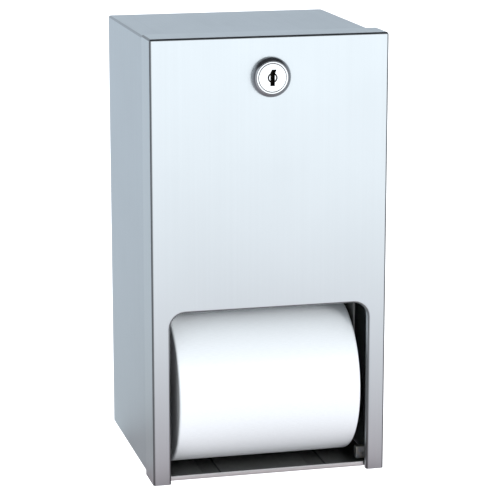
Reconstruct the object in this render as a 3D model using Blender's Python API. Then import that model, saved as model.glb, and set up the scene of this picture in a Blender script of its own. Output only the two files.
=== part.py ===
# Double roll toilet paper dispenser, hung on a wall.
# Sheet steel cabinet, drop-front door with a paper outlet and a cam lock, two stacked rolls
# on moulded spindles, and a release bail that holds the reserve roll up.
# Metres, +Z up. The origin is the centre of the cabinet's back, the wall lies at +Y.
import math

import bmesh
import bpy
import numpy as np
from mathutils import Matrix, Vector

# Driving sizes: the two rolls, and the room kept round them
ROLL_WIDTH = 0.117
ROLL_DIAMETER = 0.100
ROLL_SPACING = 0.022
ROLL_FLOOR_CLEARANCE = 0.001
LOWER_ROLL_PROUD = 0.003
UPPER_ROLL_SETBACK = 0.008
ROLL_EDGE_ROUND = 0.0012
HEADROOM = 0.0554
REAR_SPACE = 0.037
SIDE_SPACE = 0.0165

# Driving sizes: sheets, folds and fits
DOOR_SHEET = 0.0012
CABINET_SHEET = 0.0010
FLOOR_SHEET = 0.0010
BRACKET_SHEET = 0.0012
BAIL_SHEET = 0.0014
FOLD_RADIUS = 0.0016
SEAT_GAP = 0.0003
CUT_OVERRUN = 0.001
MERGE_DISTANCE = 0.000001

# Driving sizes: cores and spindles
CORE_DIAMETER = 0.0432
CORE_WALL = 0.0013
SPINDLE_DIAMETER = 0.029
SPINDLE_SHAFT_DIAMETER = 0.017
SPINDLE_RIB_DEPTH = 0.0011
SPINDLE_RIB_THICKNESS = 0.0018
SPINDLE_LAND = 0.012
SPINDLE_TAPER = 0.004
SPINDLE_SHOULDER_SETBACK = 0.0025
SPINDLE_CHAMFER = 0.0015
JOURNAL_DIAMETER = 0.009
BUTTON_DIAMETER = 0.012
BUTTON_LENGTH = 0.0045
BUTTON_CHAMFER = 0.0008

# Driving sizes: floor plate
LIP_SETBACK = 0.0045
LIP_HEIGHT = 0.0032
LIP_END_CLEARANCE = 0.0006
FLOOR_WIDE_SETBACK = 0.0065
FLOOR_REAR_FLANGE = 0.008
GROOVE_DEPTH = 0.0006
GROOVE_WIDTH = 0.011
GROOVE_INNER_HALF = 0.029
GROOVE_FRONT_SETBACK = 0.011
GROOVE_REAR_SETBACK = 0.012

# Driving sizes: door, outlet and hinge
DOOR_SIDE_CLEARANCE = 0.0006
DOOR_TOP_CLEARANCE = 0.0008
DOOR_FLANGE = 0.024
OUTLET_LEG = 0.0115
OUTLET_HEIGHT = 0.110
OUTLET_CORNER = 0.0095
OUTLET_RETURN = 0.004
HINGE_SETBACK = 0.0175
HINGE_HEIGHT = 0.0065
HINGE_PIN_DIAMETER = 0.0048
HINGE_PIN_CHAMFER = 0.0005
HINGE_BLOCK_HEIGHT = 0.008
HINGE_BLOCK_DEPTH = 0.005
HINGE_BLOCK_LENGTH = 0.0107
HINGE_BLOCK_CHAMFER = 0.0005
HINGE_BORE_DEPTH = 0.0075

# Driving sizes: lip folded down from the front of the cabinet's top
TOP_LIP_HEIGHT = 0.008
TOP_LIP_SIDE_GAP = 0.006
TOP_LIP_RELIEF = 0.001

# Driving sizes: wall fixing holes in the back
WALL_HOLE_DIAMETER = 0.0065
WALL_HOLE_SIDE = 0.045
WALL_HOLE_END_DISTANCE = 0.035

# Driving sizes: guide brackets
ROLL_SIDE_PLAY = 0.0025
BRACKET_FRONT_REACH = 0.034
BRACKET_REAR_REACH = 0.047
BRACKET_FOOT = 0.018
BRACKET_HEAD = 0.030
BRACKET_BASE_HEIGHT = 0.012
BRACKET_CORNER = 0.008
TRACK_CLEARANCE = 0.0003
TRACK_TOP_RISE = 0.010
TRACK_BEND_DROP = 0.050
ENTRY_RISE = 0.012

# Driving sizes: release bail and its studs
BAIL_SIDE_CLEARANCE = 0.0006
BAIL_PIVOT_BACK = 0.011
BAIL_PIVOT_DROP = 0.036
BAIL_BAR_FORWARD = 0.0505
BAIL_BAR_DROP = 0.032
BAIL_STRAP = 0.010
SHELF_WIDTH = 0.0058
STUD_DIAMETER = 0.005
STUD_COLLAR_DIAMETER = 0.0072
STUD_HEAD_DIAMETER = 0.008
STUD_HEAD_HEIGHT = 0.0007
STOP_SHARE = 0.62
SHELF_FRONT_ANGLE = math.radians(22.0)
SHELF_REAR_ANGLE = math.radians(0.0)

# Driving sizes: lock
LOCK_TOP_DISTANCE = 0.025
LOCK_BARREL_DIAMETER = 0.019
LOCK_HEAD_DIAMETER = 0.0206
LOCK_HEAD_HEIGHT = 0.0024
LOCK_LENGTH = 0.021
BEZEL_DIAMETER = 0.025
BEZEL_HEIGHT = 0.0042
BEZEL_RIM = 0.0008
PLUG_FACE_DIAMETER = 0.017
PLUG_FACE_DEPTH = 0.0025
PLUG_DIAMETER = 0.013
PLUG_TAIL_WIDTH = 0.007
KEYHOLE_HEIGHT = 0.010
KEYHOLE_WIDTH = 0.0028
KEYHOLE_DEPTH = 0.006
KEYHOLE_KINK = 0.0010
KEY_RING_DIAMETER = 0.0062
KEY_RING_GROOVE = 0.0009
KEY_RING_DEPTH = 0.0008
WASHER_THICKNESS = 0.0008
WASHER_DIAMETER = 0.025
NUT_THICKNESS = 0.004
NUT_FLATS = 0.0235
NUT_CHAMFER = 0.0008
CAM_SHEET = 0.0016
CAM_LENGTH = 0.018
CAM_WIDTH = 0.010
CAM_HUB_DIAMETER = 0.015
CAM_SCREW_DIAMETER = 0.0036
CAM_SCREW_HEAD_DIAMETER = 0.0095
CAM_SCREW_HEAD_HEIGHT = 0.0022
CAM_SCREW_LENGTH = 0.009
CAM_SCREW_CHAMFER = 0.0005
KEEPER_WIDTH = 0.026
KEEPER_FOOT = 0.015
KEEPER_OVERLAP = 0.004

# How finely round forms are cut
FOLD_STEPS = 3
FINE_STEPS = 72
ROUND_STEPS = 32
SMALL_STEPS = 20
CORNER_STEPS = 6
RIB_PAIRS = 3

# Corners of a unit square, in order
SQUARE = ((-1, -1), (1, -1), (1, 1), (-1, 1))

# Overall size, worked out from the rolls and the room round them
WIDTH = ROLL_WIDTH + 2 * SIDE_SPACE
DEPTH = UPPER_ROLL_SETBACK + ROLL_DIAMETER + REAR_SPACE
FLOOR_LEVEL = GROOVE_DEPTH + FLOOR_SHEET
HEIGHT = FLOOR_LEVEL + ROLL_FLOOR_CLEARANCE + 2 * ROLL_DIAMETER + ROLL_SPACING + HEADROOM
TOP = HEIGHT / 2
BOTTOM = -HEIGHT / 2
FRONT = -DEPTH

# Places of the main planes
CABINET_HALF = WIDTH / 2 - DOOR_SHEET - DOOR_SIDE_CLEARANCE
INNER_HALF = CABINET_HALF - CABINET_SHEET
CABINET_TOP = TOP - DOOR_SHEET - DOOR_TOP_CLEARANCE
CABINET_FRONT = FRONT + DOOR_SHEET + DOOR_SIDE_CLEARANCE
FLOOR_TOP = BOTTOM + FLOOR_LEVEL
OUTLET_HALF = WIDTH / 2 - OUTLET_LEG

# Places of rolls and spindles
ROLL_RADIUS = ROLL_DIAMETER / 2
CORE_OUTER = CORE_DIAMETER / 2
CORE_INNER = CORE_OUTER - CORE_WALL
SPINDLE_RADIUS = SPINDLE_DIAMETER / 2
CORE_HANG = CORE_INNER - SPINDLE_RADIUS - SEAT_GAP
LOWER_ROLL_Y = FRONT - LOWER_ROLL_PROUD + ROLL_RADIUS
UPPER_ROLL_Y = FRONT + UPPER_ROLL_SETBACK + ROLL_RADIUS
LOWER_ROLL_Z = FLOOR_TOP + ROLL_FLOOR_CLEARANCE + ROLL_RADIUS
UPPER_ROLL_Z = LOWER_ROLL_Z + ROLL_DIAMETER + ROLL_SPACING
LOWER_SPINDLE_Z = LOWER_ROLL_Z + CORE_HANG
UPPER_SPINDLE_Z = UPPER_ROLL_Z + CORE_HANG
TRACK_HALF = JOURNAL_DIAMETER / 2 + TRACK_CLEARANCE

# Places of the bracket plates and of the parts in the side channels
PLATE_INNER = ROLL_WIDTH / 2 + ROLL_SIDE_PLAY
PLATE_OUTER = PLATE_INNER + BRACKET_SHEET
ARM_OUTER = INNER_HALF - BAIL_SIDE_CLEARANCE
ARM_INNER = ARM_OUTER - BAIL_SHEET
SPINDLE_END = ARM_INNER - BAIL_SHEET - SEAT_GAP
PIVOT_Y = UPPER_ROLL_Y + BAIL_PIVOT_BACK
PIVOT_Z = UPPER_SPINDLE_Z - BAIL_PIVOT_DROP
BAR_Y = PIVOT_Y - BAIL_BAR_FORWARD
BAR_Z = PIVOT_Z - BAIL_BAR_DROP
SHELF_RADIUS = math.hypot(BAIL_PIVOT_BACK, BAIL_PIVOT_DROP) - BUTTON_DIAMETER / 2 - SEAT_GAP

# Places of hinge and lock
HINGE_Y = FRONT + HINGE_SETBACK
HINGE_Z = BOTTOM + HINGE_HEIGHT
LOCK_Z = TOP - LOCK_TOP_DISTANCE
LOCK_FACE = FRONT - SEAT_GAP - BEZEL_HEIGHT
LOCK_REAR = FRONT + LOCK_LENGTH
CAM_FRONT = LOCK_REAR + 2 * SEAT_GAP
CAM_REAR = CAM_FRONT + CAM_SHEET
KEEPER_REAR = CAM_FRONT - SEAT_GAP
KEEPER_TOP = CABINET_TOP - CABINET_SHEET - SEAT_GAP

# Finishes: base colour, roughness, metallic
FINISHES = {
    "satin_steel": ((0.72, 0.74, 0.76), 0.32, 1.0),
    "inner_steel": ((0.55, 0.56, 0.58), 0.40, 1.0),
    "chrome": ((0.83, 0.84, 0.85), 0.08, 1.0),
    "zinc": ((0.62, 0.62, 0.60), 0.35, 1.0),
    "moulded_plastic": ((0.16, 0.17, 0.18), 0.45, 0.0),
    "cardboard": ((0.56, 0.45, 0.33), 0.90, 0.0),
    "paper": ((0.90, 0.92, 0.94), 0.95, 0.0),
}

ALONG = {"X": Vector((1, 0, 0)), "Y": Vector((0, 1, 0)), "Z": Vector((0, 0, 1))}


# Empty the scene
def clear_scene():
    for item in list(bpy.data.objects):
        bpy.data.objects.remove(item, do_unlink=True)


# A material of its own for each part
def finish_for(name, finish):
    colour, roughness, metallic = FINISHES[finish]
    material = bpy.data.materials.new(name + "_finish")
    material.use_nodes = True
    shader = material.node_tree.nodes["Principled BSDF"]
    shader.inputs["Base Color"].default_value = (*colour, 1.0)
    shader.inputs["Roughness"].default_value = roughness
    shader.inputs["Metallic"].default_value = metallic
    material.diffuse_color = (*colour, 1.0)
    return material


# Turn a bmesh into a named object, moved so that its origin lies at place
def add_part(name, bm, finish, place=(0, 0, 0), smooth=False):
    bmesh.ops.translate(bm, verts=bm.verts, vec=-Vector(place))
    mesh = bpy.data.meshes.new(name)
    bm.to_mesh(mesh)
    bm.free()
    if smooth:
        mesh.shade_smooth()
        mesh.set_sharp_from_angle(angle=math.radians(35.0))
    part = bpy.data.objects.new(name, mesh)
    part.location = place
    bpy.context.scene.collection.objects.link(part)
    mesh.materials.append(finish_for(name, finish))
    return part


# A cutter or blank that shapes another part and isn't one itself
def add_cutter(name, bm):
    mesh = bpy.data.meshes.new(name)
    bm.to_mesh(mesh)
    bm.free()
    cutter = bpy.data.objects.new(name, mesh)
    bpy.context.scene.collection.objects.link(cutter)
    cutter.hide_render = True
    cutter.display_type = "WIRE"
    return cutter


def combine(part, cutter, operation="DIFFERENCE", overlapping=False):
    step = part.modifiers.new(cutter.name, "BOOLEAN")
    step.operation = operation
    step.object = cutter
    step.solver = "EXACT"
    step.use_self = overlapping


def give_thickness(part, thickness):
    step = part.modifiers.new("sheet", "SOLIDIFY")
    step.thickness = thickness
    step.offset = -1.0
    step.use_even_offset = True


# A point from its two coordinates across an axis and its distance along it
def across(axis, pair, along):
    if axis == "X":
        return Vector((along, pair[0], pair[1]))
    if axis == "Y":
        return Vector((pair[0], along, pair[1]))
    return Vector((pair[0], pair[1], along))


# Closed outline pushed along an axis from one plane to another
def prism(bm, outline, axis, start, end):
    ring = [bm.verts.new(across(axis, pair, start)) for pair in outline]
    cap = bm.faces.new(ring)
    grown = bmesh.ops.extrude_face_region(bm, geom=[cap], use_keep_orig=True)
    moved = [item for item in grown["geom"] if isinstance(item, bmesh.types.BMVert)]
    bmesh.ops.translate(bm, verts=moved, vec=ALONG[axis] * (end - start))
    bmesh.ops.recalc_face_normals(bm, faces=bm.faces)
    return bm


# Closed profile of (distance along the axis, radius) spun round the axis through centre
def turned(bm, profile, axis, centre, steps):
    middle = Vector(centre)
    out = Vector((0, 0, 1))
    ring = [bm.verts.new(middle + ALONG[axis] * along + out * radius) for along, radius in profile]
    edges = [bm.edges.new((ring[i - 1], ring[i])) for i in range(len(ring))]
    bmesh.ops.spin(
        bm, geom=ring + edges, cent=middle, axis=ALONG[axis], dvec=Vector((0, 0, 0)),
        angle=2 * math.pi, steps=steps, use_merge=True, use_duplicate=False,
    )
    bmesh.ops.remove_doubles(bm, verts=bm.verts, dist=MERGE_DISTANCE)
    flat = [edge for edge in bm.edges if not edge.link_faces]
    bmesh.ops.delete(bm, geom=flat, context="EDGES")
    bmesh.ops.recalc_face_normals(bm, faces=bm.faces)
    return bm


# Profile of a stepped pin: stations of (distance along, radius), closed on its axis
def pin_profile(stations):
    return [(stations[0][0], 0)] + stations + [(stations[-1][0], 0)]


# Points round an arc, both ends included
def arc(centre, radius, start, end, steps):
    angles = np.linspace(start, end, steps + 1)
    return [(centre[0] + radius * math.cos(a), centre[1] + radius * math.sin(a)) for a in angles]


# A corner turned into an arc that touches both of its legs
def rounded_corner(before, corner, after, radius, steps):
    corner, before, after = Vector(corner), Vector(before), Vector(after)
    way_in = (before - corner).normalized()
    way_out = (after - corner).normalized()
    half = way_in.angle(way_out) / 2
    centre = corner + (way_in + way_out).normalized() * (radius / math.sin(half))
    start = corner + way_in * (radius / math.tan(half)) - centre
    turn = math.pi - 2 * half
    sign = 1 if way_in.cross(way_out) < 0 else -1
    return [tuple(centre + start @ Matrix.Rotation(-sign * turn * i / steps, 2)) for i in range(steps + 1)]


def rounded_outline(points, radius, steps):
    outline = []
    for i, corner in enumerate(points):
        outline += rounded_corner(points[i - 1], corner, points[(i + 1) % len(points)], radius, steps)
    return outline


# Outline of a bar with round ends between two points
def strap_outline(start, end, half, steps):
    way = Vector(end) - Vector(start)
    lean = math.atan2(way.y, way.x)
    quarter = math.pi / 2
    far = arc(end, half, lean - quarter, lean + quarter, steps)
    near = arc(start, half, lean + quarter, lean + 3 * quarter, steps)
    return far + near


# Section of a folded sheet: path is one face, the sheet lies to its right, bends are round
def folded_section(path, thickness, inner_radius, steps):
    points = [Vector(p) for p in path]
    ways = [(b - a).normalized() for a, b in zip(points, points[1:])]
    rights = [Vector((way.y, -way.x)) for way in ways]
    other = [points[0] + rights[0] * thickness]
    for i in range(1, len(points) - 1):
        bisector = (rights[i - 1] + rights[i]).normalized()
        other.append(points[i] + bisector * (thickness / bisector.dot(rights[i])))
    other.append(points[-1] + rights[-1] * thickness)

    def rounded(line, near_side):
        run = [tuple(line[0])]
        for i in range(1, len(line) - 1):
            right_turn = ways[i - 1].cross(ways[i]) < 0
            inside = right_turn != near_side
            radius = inner_radius if inside else inner_radius + thickness
            run += rounded_corner(line[i - 1], line[i], line[i + 1], radius, steps)
        return run + [tuple(line[-1])]

    return rounded(points, True) + rounded(other, False)[::-1]


def mirrored(outline, side):
    return [(side * x, y) for x, y in outline]


# Fold lines of an open sheet, where two faces meet at more than 60 degrees, get their bend
def bend_folds(bm, radius):
    folds = [edge for edge in bm.edges if len(edge.link_faces) == 2]
    folds = [edge for edge in folds if edge.calc_face_angle() > math.radians(60.0)]
    bmesh.ops.bevel(
        bm, geom=folds, offset=radius, offset_type="OFFSET", segments=FOLD_STEPS,
        profile=0.5, affect="EDGES", clamp_overlap=False,
    )


# Give an open sheet one outward side: the face that looks most along way must look that way
def face_outward(bm, way):
    bmesh.ops.recalc_face_normals(bm, faces=bm.faces)
    bm.normal_update()
    judge = max(bm.faces, key=lambda face: abs(face.normal.dot(Vector(way))) * face.calc_area())
    if judge.normal.dot(Vector(way)) < 0:
        bmesh.ops.reverse_faces(bm, faces=bm.faces)


def push_edges(bm, edges, way):
    grown = bmesh.ops.extrude_edge_only(bm, edges=edges)
    moved = [item for item in grown["geom"] if isinstance(item, bmesh.types.BMVert)]
    bmesh.ops.translate(bm, verts=moved, vec=Vector(way))


# Cabinet: back, sides and top folded and welded from one sheet, open at front and bottom.
# A lip folds down along the front of the top, with a relief notch at each end.
# Each side's lower front corner is an arc about the door hinge, so that the door clears it.
def cabinet_shell():
    corner_radius = HINGE_Y - CABINET_FRONT
    low = math.asin((HINGE_Z - BOTTOM) / corner_radius)
    swing = arc((HINGE_Y, HINGE_Z), corner_radius, math.pi, math.pi + low, CORNER_STEPS)
    outline = [(0, BOTTOM), (0, CABINET_TOP), (CABINET_FRONT, CABINET_TOP)] + swing
    bm = bmesh.new()
    left = [bm.verts.new((-CABINET_HALF, y, z)) for y, z in outline]
    right = [bm.verts.new((CABINET_HALF, y, z)) for y, z in outline]
    bm.faces.new(left)
    bm.faces.new(right)
    bm.faces.new((left[0], left[1], right[1], right[0]))

    lip_half = INNER_HALF - TOP_LIP_SIDE_GAP
    notch_half = lip_half + TOP_LIP_RELIEF
    fold_line = CABINET_FRONT + FOLD_RADIUS
    fold = arc((fold_line, CABINET_TOP - FOLD_RADIUS), FOLD_RADIUS, math.pi / 2, math.pi, FOLD_STEPS)
    lip = fold + [(CABINET_FRONT, CABINET_TOP - TOP_LIP_HEIGHT)]
    strip = [[bm.verts.new((x, y, z)) for y, z in lip] for x in (-lip_half, lip_half)]
    for i in range(len(lip) - 1):
        bm.faces.new((strip[0][i], strip[0][i + 1], strip[1][i + 1], strip[1][i]))
    notches = [[bm.verts.new((side * notch_half, y, CABINET_TOP)) for y in (CABINET_FRONT, fold_line)]
               for side in (-1, 1)]
    bm.faces.new((left[1], left[2], notches[0][0], notches[0][1], strip[0][0],
                  strip[1][0], notches[1][1], notches[1][0], right[2], right[1]))
    face_outward(bm, (0, 1, 0))
    bend_folds(bm, FOLD_RADIUS)
    shell = add_part("cabinet_shell", bm, "satin_steel", smooth=True)
    give_thickness(shell, CABINET_SHEET)

    holes = bmesh.new()
    for x in (-WALL_HOLE_SIDE, WALL_HOLE_SIDE):
        for z in (BOTTOM + WALL_HOLE_END_DISTANCE, TOP - WALL_HOLE_END_DISTANCE):
            ring = arc((x, z), WALL_HOLE_DIAMETER / 2, 0, 2 * math.pi, SMALL_STEPS)[:-1]
            prism(holes, ring, "Y", -CABINET_SHEET - CUT_OVERRUN, CUT_OVERRUN)
    combine(shell, add_cutter("cut_wall_holes", holes))

    holes = bmesh.new()
    for side in (-1, 1):
        ring = arc((HINGE_Y, HINGE_Z), HINGE_PIN_DIAMETER / 2 + SEAT_GAP, 0, 2 * math.pi, SMALL_STEPS)[:-1]
        prism(holes, ring, "X", side * (INNER_HALF - CUT_OVERRUN), side * (CABINET_HALF + CUT_OVERRUN))
    combine(shell, add_cutter("cut_cabinet_hinge_holes", holes))


# Floor: sheet with an upturned front lip, a flange up the back, and two shallow grooves between
def floor_plate():
    wide = INNER_HALF - SEAT_GAP
    tongue = OUTLET_HALF - LIP_END_CLEARANCE
    outer = GROOVE_INNER_HALF + GROOVE_WIDTH
    slope = GROOVE_DEPTH
    halves = [GROOVE_INNER_HALF - slope, GROOVE_INNER_HALF, outer, outer + slope, tongue, wide]
    across_x = [-x for x in reversed(halves)] + halves
    groove_front = FRONT + GROOVE_FRONT_SETBACK
    groove_rear = -CABINET_SHEET - GROOVE_REAR_SETBACK
    along_y = [
        FRONT + LIP_SETBACK, FRONT + FLOOR_WIDE_SETBACK, groove_front, groove_front + slope,
        groove_rear - slope, groove_rear, -CABINET_SHEET - SEAT_GAP,
    ]

    def level(x, y):
        in_width = GROOVE_INNER_HALF <= abs(x) <= outer
        in_length = groove_front + slope <= y <= groove_rear - slope
        return BOTTOM if in_width and in_length else BOTTOM + GROOVE_DEPTH

    bm = bmesh.new()
    grid = [[bm.verts.new((x, y, level(x, y))) for x in across_x] for y in along_y]
    for row in range(len(along_y) - 1):
        for column in range(len(across_x) - 1):
            if row == 0 and column in (0, len(across_x) - 2):
                continue
            low, high = grid[row], grid[row + 1]
            bm.faces.new((low[column], low[column + 1], high[column + 1], high[column]))
    loose = [vert for vert in bm.verts if not vert.link_faces]
    bmesh.ops.delete(bm, geom=loose, context="VERTS")
    front = [bm.edges.get(pair) for pair in zip(grid[0][1:-1], grid[0][2:-1])]
    rear = [bm.edges.get(pair) for pair in zip(grid[-1], grid[-1][1:])]
    push_edges(bm, front, (0, 0, LIP_HEIGHT))
    push_edges(bm, rear, (0, 0, FLOOR_REAR_FLANGE))
    face_outward(bm, (0, 0, -1))
    bend_folds(bm, FOLD_RADIUS)
    plate = add_part("floor_plate", bm, "inner_steel", smooth=True)
    give_thickness(plate, FLOOR_SHEET)


# Door: pan with a front face, one top and two side flanges, and an outlet with a turned-in edge
def door_panel():
    half = WIDTH / 2
    outlet_top = BOTTOM + OUTLET_HEIGHT
    right_corner = (OUTLET_HALF - OUTLET_CORNER, outlet_top - OUTLET_CORNER)
    left_corner = (-right_corner[0], right_corner[1])
    frame = [(half, BOTTOM), (half, TOP), (-half, TOP), (-half, BOTTOM)]
    outlet = [(-OUTLET_HALF, BOTTOM)]
    outlet += arc(left_corner, OUTLET_CORNER, math.pi, math.pi / 2, CORNER_STEPS)
    outlet += arc(right_corner, OUTLET_CORNER, math.pi / 2, 0, CORNER_STEPS)
    outlet += [(OUTLET_HALF, BOTTOM)]
    bm = bmesh.new()
    ring = [bm.verts.new((x, FRONT, z)) for x, z in frame + outlet]
    bm.faces.new(ring)
    edges = [bm.edges.get((ring[i], ring[i + 1])) for i in range(len(ring) - 1)]
    push_edges(bm, edges[: len(frame) - 1], (0, DOOR_FLANGE, 0))
    push_edges(bm, edges[len(frame):], (0, OUTLET_RETURN, 0))
    face_outward(bm, (0, -1, 0))
    bend_folds(bm, FOLD_RADIUS)
    door = add_part("door_panel", bm, "satin_steel", place=(0, HINGE_Y, HINGE_Z), smooth=True)
    give_thickness(door, DOOR_SHEET)

    holes = bmesh.new()
    ring = arc((0, LOCK_Z), LOCK_BARREL_DIAMETER / 2 + SEAT_GAP, 0, 2 * math.pi, ROUND_STEPS)[:-1]
    prism(holes, ring, "Y", FRONT - CUT_OVERRUN, FRONT + DOOR_SHEET + CUT_OVERRUN)
    combine(door, add_cutter("cut_lock_hole", holes))


# Hinge: a pin welded inside each door flange turns in the cabinet side and in a block behind it
def hinge(side, name):
    outer = INNER_HALF - SEAT_GAP
    inner = outer - HINGE_BLOCK_LENGTH
    half_height = HINGE_BLOCK_HEIGHT / 2
    half_depth = HINGE_BLOCK_DEPTH / 2
    outline = [(HINGE_Y + a * half_depth, HINGE_Z + b * half_height) for a, b in SQUARE]
    bm = prism(bmesh.new(), outline, "X", side * inner, side * outer)
    bmesh.ops.bevel(
        bm, geom=bm.edges[:], offset=HINGE_BLOCK_CHAMFER, offset_type="OFFSET", segments=2,
        profile=0.5, affect="EDGES", clamp_overlap=True,
    )
    block = add_part(name + "_hinge_block", bm, "inner_steel")
    shank = HINGE_PIN_DIAMETER / 2
    mouth = side * (outer + CUT_OVERRUN)
    bottom = side * (outer - HINGE_BORE_DEPTH)
    stations = [(bottom, shank + SEAT_GAP), (mouth, shank + SEAT_GAP)]
    bore = turned(bmesh.new(), pin_profile(stations), "X", (0, HINGE_Y, HINGE_Z), SMALL_STEPS)
    combine(block, add_cutter("cut_" + name + "_hinge_bore", bore))

    root = WIDTH / 2 - DOOR_SHEET - SEAT_GAP
    tip = outer - HINGE_BORE_DEPTH + SEAT_GAP
    stations = [
        (side * root, shank), (side * (tip + HINGE_PIN_CHAMFER), shank),
        (side * tip, shank - HINGE_PIN_CHAMFER),
    ]
    bm = turned(bmesh.new(), pin_profile(stations), "X", (0, HINGE_Y, HINGE_Z), SMALL_STEPS)
    add_part(name + "_hinge_pin", bm, "zinc", place=(0, HINGE_Y, HINGE_Z), smooth=True)


# Guide bracket: plate with the spindle track, folded out at the rear to a foot on the cabinet side.
# The track is a drop channel that leans back as it rises from the lower seat, stands upright past
# the upper one, and ends in an entry that slopes to the front edge.
def guide_bracket(side, name):
    front = UPPER_ROLL_Y - BRACKET_FRONT_REACH
    rear = UPPER_ROLL_Y + BRACKET_REAR_REACH
    low = BOTTOM + BRACKET_BASE_HEIGHT
    high = UPPER_SPINDLE_Z + BRACKET_HEAD
    foot = INNER_HALF - SEAT_GAP - BRACKET_SHEET
    path = [(PLATE_INNER, front), (PLATE_INNER, rear), (foot, rear), (foot, rear + BRACKET_FOOT)]
    section = folded_section(path, BRACKET_SHEET, FOLD_RADIUS - BRACKET_SHEET / 2, FOLD_STEPS)
    bm = prism(bmesh.new(), mirrored(section, side), "Z", low, high)
    bracket = add_part(name + "_guide_bracket", bm, "inner_steel")

    blank_rear = rear + BRACKET_FOOT + BRACKET_CORNER
    corners = [(front - CUT_OVERRUN, low), (blank_rear, low), (blank_rear, high), (front, high)]
    corners[0] = (front, low)
    blank = rounded_outline(corners, BRACKET_CORNER, CORNER_STEPS)
    reach = side * (INNER_HALF + CUT_OVERRUN)
    start = side * (PLATE_INNER - CUT_OVERRUN)
    shape = add_cutter("blank_" + name + "_bracket", prism(bmesh.new(), blank, "X", start, reach))
    combine(bracket, shape, "INTERSECT")

    seat = (LOWER_ROLL_Y, LOWER_SPINDLE_Z)
    bend = (UPPER_ROLL_Y, UPPER_SPINDLE_Z - TRACK_BEND_DROP)
    channel_top = (UPPER_ROLL_Y, UPPER_SPINDLE_Z + TRACK_TOP_RISE)
    mouth = (front - TRACK_HALF, channel_top[1] + ENTRY_RISE)
    runs = [(seat, bend), (bend, channel_top), (channel_top, mouth)]
    track = bmesh.new()
    for start_point, end_point in runs:
        outline = strap_outline(start_point, end_point, TRACK_HALF, CORNER_STEPS)
        prism(track, outline, "X", side * (PLATE_INNER - CUT_OVERRUN), side * (PLATE_OUTER + CUT_OVERRUN))
    combine(bracket, add_cutter("cut_" + name + "_track", track), overlapping=True)

    holes = bmesh.new()
    for y, z in ((PIVOT_Y, PIVOT_Z), stop_place()):
        ring = arc((y, z), STUD_DIAMETER / 2 + SEAT_GAP, 0, 2 * math.pi, SMALL_STEPS)[:-1]
        prism(holes, ring, "X", side * (PLATE_INNER - CUT_OVERRUN), side * (PLATE_OUTER + CUT_OVERRUN))
    combine(bracket, add_cutter("cut_" + name + "_stud_holes", holes))


# The stop stud lies under the bail's arm, part of the way from the pivot to the bar
def stop_place():
    pivot = Vector((PIVOT_Y, PIVOT_Z))
    bar = Vector((BAR_Y, BAR_Z))
    way = (bar - pivot).normalized()
    below = Vector((-way.y, way.x))
    below = below if below.y < 0 else -below
    return tuple(pivot.lerp(bar, STOP_SHARE) + below * (BAIL_STRAP / 2 + STUD_DIAMETER / 2 + SEAT_GAP))


# Studs riveted in a bracket plate: one that the bail turns on and one that stops it
def bail_studs(side, name):
    head = PLATE_INNER - SEAT_GAP - STUD_HEAD_HEIGHT
    shank = STUD_DIAMETER / 2
    end = INNER_HALF - SEAT_GAP
    riveted = [
        (head, STUD_HEAD_DIAMETER / 2), (PLATE_INNER - SEAT_GAP, STUD_HEAD_DIAMETER / 2),
        (PLATE_INNER - SEAT_GAP, shank),
    ]
    collar = [
        (PLATE_OUTER + SEAT_GAP, shank), (PLATE_OUTER + SEAT_GAP, STUD_COLLAR_DIAMETER / 2),
        (ARM_INNER - SEAT_GAP, STUD_COLLAR_DIAMETER / 2), (ARM_INNER - SEAT_GAP, shank),
    ]
    studs = (
        (name + "_bail_pivot_stud", riveted + collar + [(end, shank)], (PIVOT_Y, PIVOT_Z)),
        (name + "_bail_stop_stud", riveted + [(end, shank)], stop_place()),
    )
    for stud, stations, (y, z) in studs:
        profile = pin_profile([(side * along, radius) for along, radius in stations])
        bm = turned(bmesh.new(), profile, "X", (0, y, z), SMALL_STEPS)
        add_part(stud, bm, "zinc", place=(0, y, z), smooth=True)


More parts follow.
